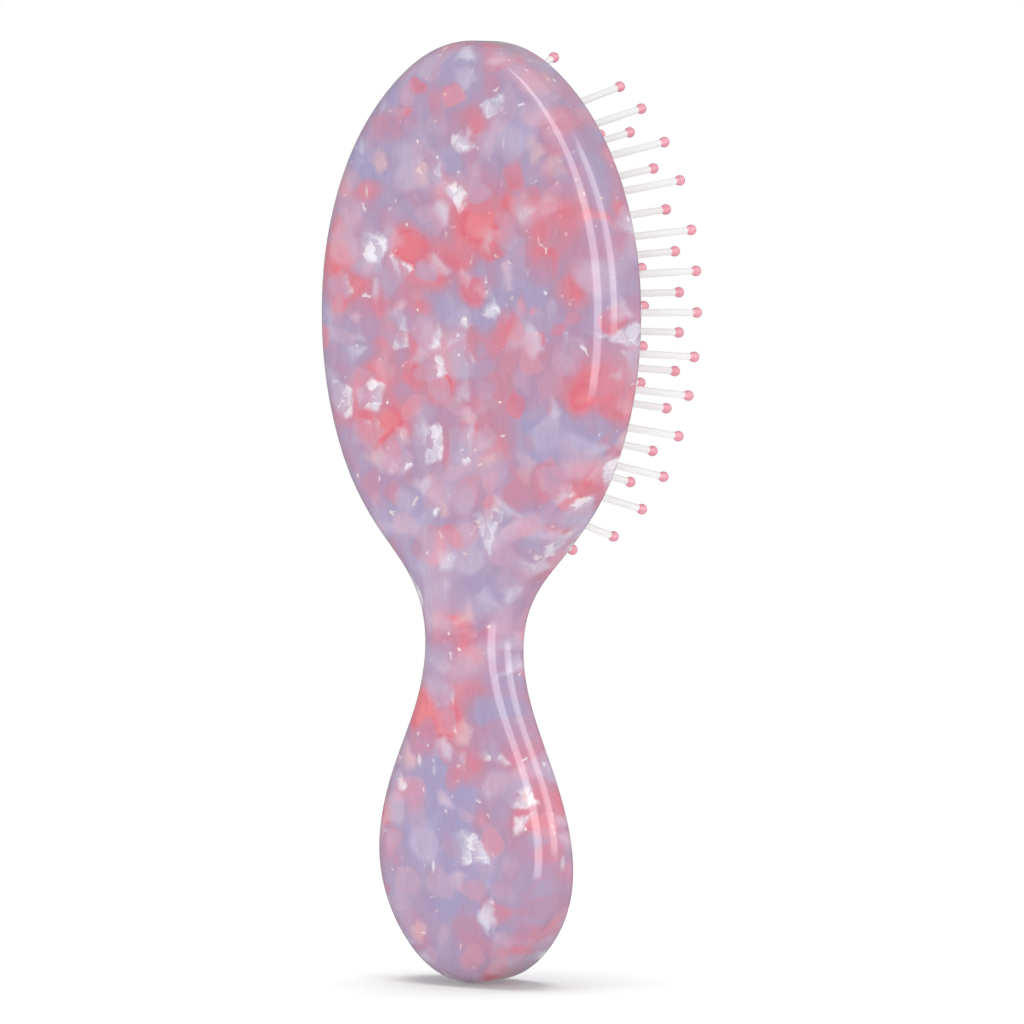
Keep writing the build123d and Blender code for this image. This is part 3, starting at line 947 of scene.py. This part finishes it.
# ---------------------------------------------------------------- the stage
# From here on, places and sizes are in metres.
# The camera stands off the back's right side, a little above the middle.
CAMERA_TURN = math.radians(34.2)
VIEW = Vector((-math.sin(CAMERA_TURN), math.cos(CAMERA_TURN), 0.0))
RIGHT = Vector((math.cos(CAMERA_TURN), math.sin(CAMERA_TURN), 0.0))
CAMERA_DISTANCE, EYE_Z = 1.100, 0.1331
AIM_Z, AIM_RIGHT = 0.0757, -0.00043
SENSOR_WIDTH, LENS = 36.0, 238.21875   # millimetres

FLOOR_HALF = 3.0
FLOOR_GREY, FLOOR_GLOW = 0.42, 0.19
WHITE = (1, 1, 1, 1)
SKY, SKY_SLOPE = 0.93, 0.17    # brightness at the horizon, and its rise to the top
# Strip lamps: azimuth from and to (right of the camera), elevation from and
# to, in degrees, and brightness
STRIPS = [(26.0, 49.0, -18.0, 82.0, 4.5), (79.0, 104.0, -4.0, 40.0, 3.3)]


def floor_material():
    """Grey that takes a shadow near the brush, turning to plain white."""
    material = bpy.data.materials.new("floor_white")
    graph = Graph(material)
    grey = graph.node("BsdfDiffuse", {"Color": (FLOOR_GREY, FLOOR_GREY, FLOOR_GREY, 1)})
    glow = graph.node("Emission", {"Strength": FLOOR_GLOW})
    near = graph.node("AddShader", {0: grey, 1: glow})
    white = graph.node("Emission", {"Strength": 1.0})
    reach = graph.vector("DISTANCE", graph.position(), (0.0, 0.0, 0.0))
    far = graph.step(reach, low=70.0, high=180.0)
    graph.feed(graph.surface, graph.node("MixShader", {0: far, 1: near, 2: white}))
    return material


def make_floor():
    mesh = bpy.data.meshes.new("floor")
    corners = [(x * FLOOR_HALF, y * FLOOR_HALF, 0)
               for x, y in ((-1, -1), (1, -1), (1, 1), (-1, 1))]
    mesh.from_pydata(corners, [], [(0, 1, 2, 3)])
    floor = bpy.data.objects.new("floor", mesh)
    bpy.context.scene.collection.objects.link(floor)
    put(floor_material(), floor)
    floor.visible_glossy = False
    floor.visible_shadow = False
    return floor


def add_floor_lamp(floor):
    """A soft lamp straight above, for the floor alone: it draws the soft
    shadow under the handle's end."""
    lamp = bpy.data.lights.new("floor_lamp", "AREA")
    lamp.shape = "ELLIPSE"
    lamp.size = 0.50
    lamp.size_y = 0.38
    lamp.energy = 7.0
    holder = bpy.data.objects.new("floor_lamp", lamp)
    bpy.context.scene.collection.objects.link(holder)
    holder.location = (-0.025, 0.037, 0.62)
    holder.rotation_euler = (0.0, 0.0, CAMERA_TURN)
    holder.visible_camera = False
    holder.visible_glossy = False
    only_floor = bpy.data.collections.new("lit_by_floor_lamp")
    only_floor.objects.link(floor)
    holder.light_linking.receiver_collection = only_floor


def add_camera():
    data = bpy.data.cameras.new("camera")
    camera = bpy.data.objects.new("camera", data)
    bpy.context.scene.collection.objects.link(camera)
    data.sensor_width = SENSOR_WIDTH
    data.lens = LENS
    data.clip_start = 0.01
    data.clip_end = 20.0
    aim = Vector((0, 0, AIM_Z)) + RIGHT * AIM_RIGHT
    eye = aim - VIEW * CAMERA_DISTANCE + Vector((0, 0, EYE_Z - AIM_Z))
    camera.location = eye
    camera.rotation_mode = "QUATERNION"
    camera.rotation_quaternion = (aim - eye).to_track_quat("-Z", "Y")
    bpy.context.scene.camera = camera


def window(graph, value, low, high, soft):
    """1 between low and high, with soft ends."""
    return (graph.step(value, low=low - soft, high=low + soft)
            * graph.step(value, low=high + soft, high=high - soft))


def studio():
    """White all round: full white to the camera, a softer white as light
    (a little stronger from above), and two tall strip lamps that show only
    as reflections. Reflections are darker behind the brush."""
    world = bpy.data.worlds.new("studio")
    bpy.context.scene.world = world
    graph = Graph(world, "OutputWorld")
    ray = graph.node("TexCoord")["Generated"]
    right = graph.vector("DOT_PRODUCT", ray, tuple(RIGHT))
    toward = graph.vector("DOT_PRODUCT", ray, tuple(-VIEW))
    up = graph.vector("DOT_PRODUCT", ray, (0.0, 0.0, 1.0))
    degrees = 180 / math.pi
    azimuth = graph.math("ARCTAN2", right, toward) * degrees
    elevation = graph.math("ARCSINE", up) * degrees
    strips = None
    for left_end, right_end, bottom, top, power in STRIPS:
        strip = (window(graph, azimuth, left_end, right_end, soft=2.5)
                 * window(graph, elevation, bottom, top, soft=4.0) * power)
        strips = strip if strips is None else strips + strip
    path = graph.node("LightPath")
    glossy = path["Is Glossy Ray"]
    behind = graph.step(toward, low=-0.05, high=-0.75, end=0.72)
    sky = (up * SKY_SLOPE + SKY) * (1.0 - behind * glossy)
    light = graph.node("Background", {"Color": WHITE, "Strength": sky + strips * glossy})
    seen = graph.node("Background", {"Color": WHITE})
    graph.feed(graph.surface, graph.node("MixShader", {0: path["Is Camera Ray"],
                                                       1: light, 2: seen}))


floor = make_floor()
add_floor_lamp(floor)
add_camera()
studio()

view = bpy.context.scene.view_settings
view.view_transform = "Standard"
view.look = "None"
view.exposure = 0.0
view.gamma = 1.0
